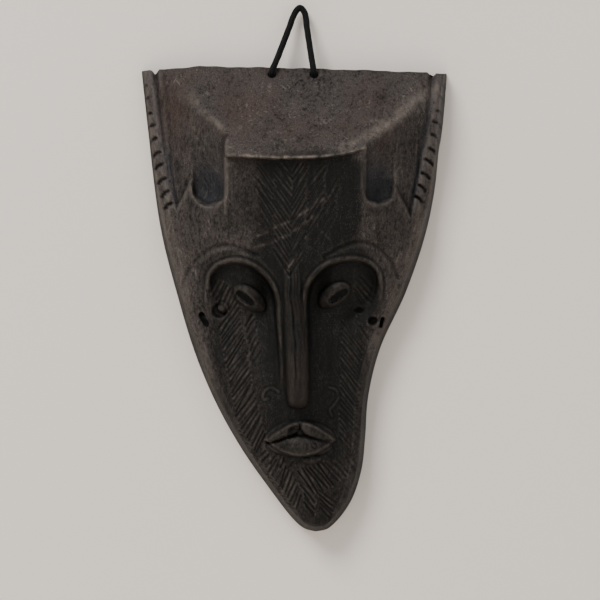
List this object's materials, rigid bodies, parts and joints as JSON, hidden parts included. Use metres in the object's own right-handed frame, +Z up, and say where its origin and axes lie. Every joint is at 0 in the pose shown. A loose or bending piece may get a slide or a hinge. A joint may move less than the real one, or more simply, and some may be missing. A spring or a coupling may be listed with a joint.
{
  "type": "carved wall mask",
  "caption": "Long tapering carved wooden wall mask, hollow behind, hung on a nail by a knotted cord loop; it tilts out from the wall on the cord.",
  "frame": {"origin": "where the axis of the nail that carries the cord loop meets the wall", "axes": "+X to the viewer's right, +Y into the wall, +Z up; the face looks along -Y and the back rim lies on the wall plane y = 0"},
  "size_m": [0.1715, 0.0534, 0.2956],
  "materials": {
    "dark_wood": "dark stained and waxed, worn matte, dusty in the cuts",
    "black_cord": "matte braided cord"
  },
  "bodies": {
    "cord_loop": {"hanging_cord": "black_cord"},
    "mask": {"mask_body": "dark_wood", "left_cord_end": "black_cord", "right_cord_end": "black_cord"}
  },
  "joints": [
    {"name": "mask_tilt", "type": "hinge", "parent": "cord_loop", "child": "mask", "pos_m": [-0.00405, -0.0167, -0.0349], "axis": [-1, 0, 0], "range_deg": [0, 130]}
  ]
}
